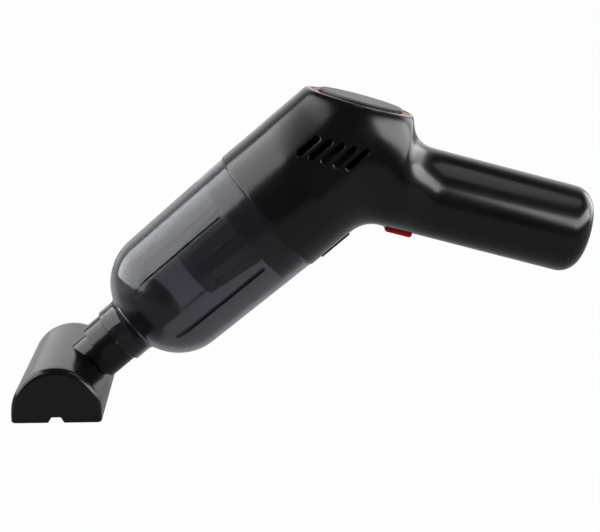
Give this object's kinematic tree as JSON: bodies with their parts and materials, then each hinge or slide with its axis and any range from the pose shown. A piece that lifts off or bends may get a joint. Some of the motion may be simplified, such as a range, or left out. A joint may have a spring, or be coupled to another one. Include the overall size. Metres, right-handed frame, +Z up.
{
  "type": "handheld vacuum",
  "caption": "Cordless handheld vacuum with a smoked see-through dust cup, angled barrel, round handle, swivelling floor head, push button and a flat-topped exhaust outlet.",
  "frame": {"origin": "centre of the suction mouth, on the floor under the head's sole", "axes": "+Z up, +X from the floor head towards the handle, +Y to the right-hand side of a person holding it"},
  "size_m": [0.2855, 0.0908, 0.1553],
  "materials": {
    "black_abs": "satin gloss",
    "black_inner": "matte",
    "smoked_clear": "gloss, smoked and see-through",
    "red_abs": "gloss",
    "rose_plastic": "satin",
    "grey_disc": "fine texture",
    "rubber": "matte",
    "filter_cloth": "pleated felt",
    "steel": "plain",
    "magnet": "plain",
    "cell_wrap": "wrapped",
    "nickel": "plain",
    "board": "solder mask",
    "lead_wire": "insulation"
  },
  "bodies": {
    "floor_head": {"head_cover": "black_abs", "head_neck": "black_abs", "head_sole": "black_inner", "sole_screws": "steel", "swivel_ring": "steel"},
    "neck_sleeve": {"connector": "black_abs", "connector_seal": "rubber"},
    "cup_body": {"dust_cup": "smoked_clear", "inlet_duct": "black_inner", "flap_pin": "steel"},
    "flap": {"inlet_flap": "rubber"},
    "main_housing": {"housing_left": "black_abs", "housing_right": "black_abs", "housing_screws": "steel", "exhaust_ring": "rose_plastic", "exhaust_disc": "grey_disc", "front_bulkhead": "black_inner", "cup_seal": "rubber", "fan_housing": "black_inner", "motor_plate": "black_inner", "motor_can": "steel", "motor_cap": "black_inner", "motor_magnets": "magnet", "motor_bearings": "steel", "motor_screws": "steel", "motor_damper": "rubber", "switch_body": "black_inner", "main_board": "board", "battery_cells": "cell_wrap", "battery_cradle": "black_inner", "battery_tabs": "nickel", "charging_board": "board", "charging_socket": "steel", "motor_leads": "lead_wire", "battery_leads": "lead_wire", "power_spring": "steel", "release_spring": "steel"},
    "filter": {"filter_frame": "black_inner", "filter_media": "filter_cloth", "filter_cap": "black_inner", "filter_seal": "rubber"},
    "rotor": {"rotor_shaft": "steel", "impeller": "black_inner", "impeller_nut": "steel", "armature": "steel"},
    "power_key": {"power_button": "red_abs"},
    "release_key": {"release_button": "black_abs"}
  },
  "joints": [
    {"name": "head_swivel", "type": "hinge", "parent": "floor_head", "child": "neck_sleeve", "pos_m": [0.02298, 0, 0.02778], "axis": [0.766, 0, 0.6428], "continuous": true},
    {"name": "head_pull", "type": "slide", "parent": "neck_sleeve", "child": "cup_body", "axis": [0.766, 0, 0.6428], "range_m": [0, 0.03]},
    {"name": "cup_release", "type": "slide", "parent": "cup_body", "child": "main_housing", "axis": [0.766, 0, 0.6428], "range_m": [0, 0.055]},
    {"name": "flap_hinge", "type": "hinge", "parent": "cup_body", "child": "flap", "pos_m": [0.04242, 0, 0.06139], "axis": [0, -1, 0], "range_deg": [0, 40]},
    {"name": "filter_twist", "type": "hinge", "parent": "main_housing", "child": "filter", "pos_m": [0.09193, 0, 0.08564], "axis": [0.766, 0, 0.6428], "range_deg": [0, 25]},
    {"name": "rotor_spin", "type": "hinge", "parent": "main_housing", "child": "rotor", "pos_m": [0.12257, 0, 0.11135], "axis": [0.766, 0, 0.6428], "continuous": true},
    {"name": "power_press", "type": "slide", "parent": "main_housing", "child": "power_key", "axis": [0.2588, 0, 0.9659], "range_m": [0, 0.002], "stiffness_N_per_m": 600, "springref_m": -0.002, "deforming": ["power_spring"]},
    {"name": "release_press", "type": "slide", "parent": "main_housing", "child": "release_key", "axis": [-0.6428, 0, 0.766], "range_m": [0, 0.0016], "stiffness_N_per_m": 600, "springref_m": -0.0015, "deforming": ["release_spring"]}
  ]
}
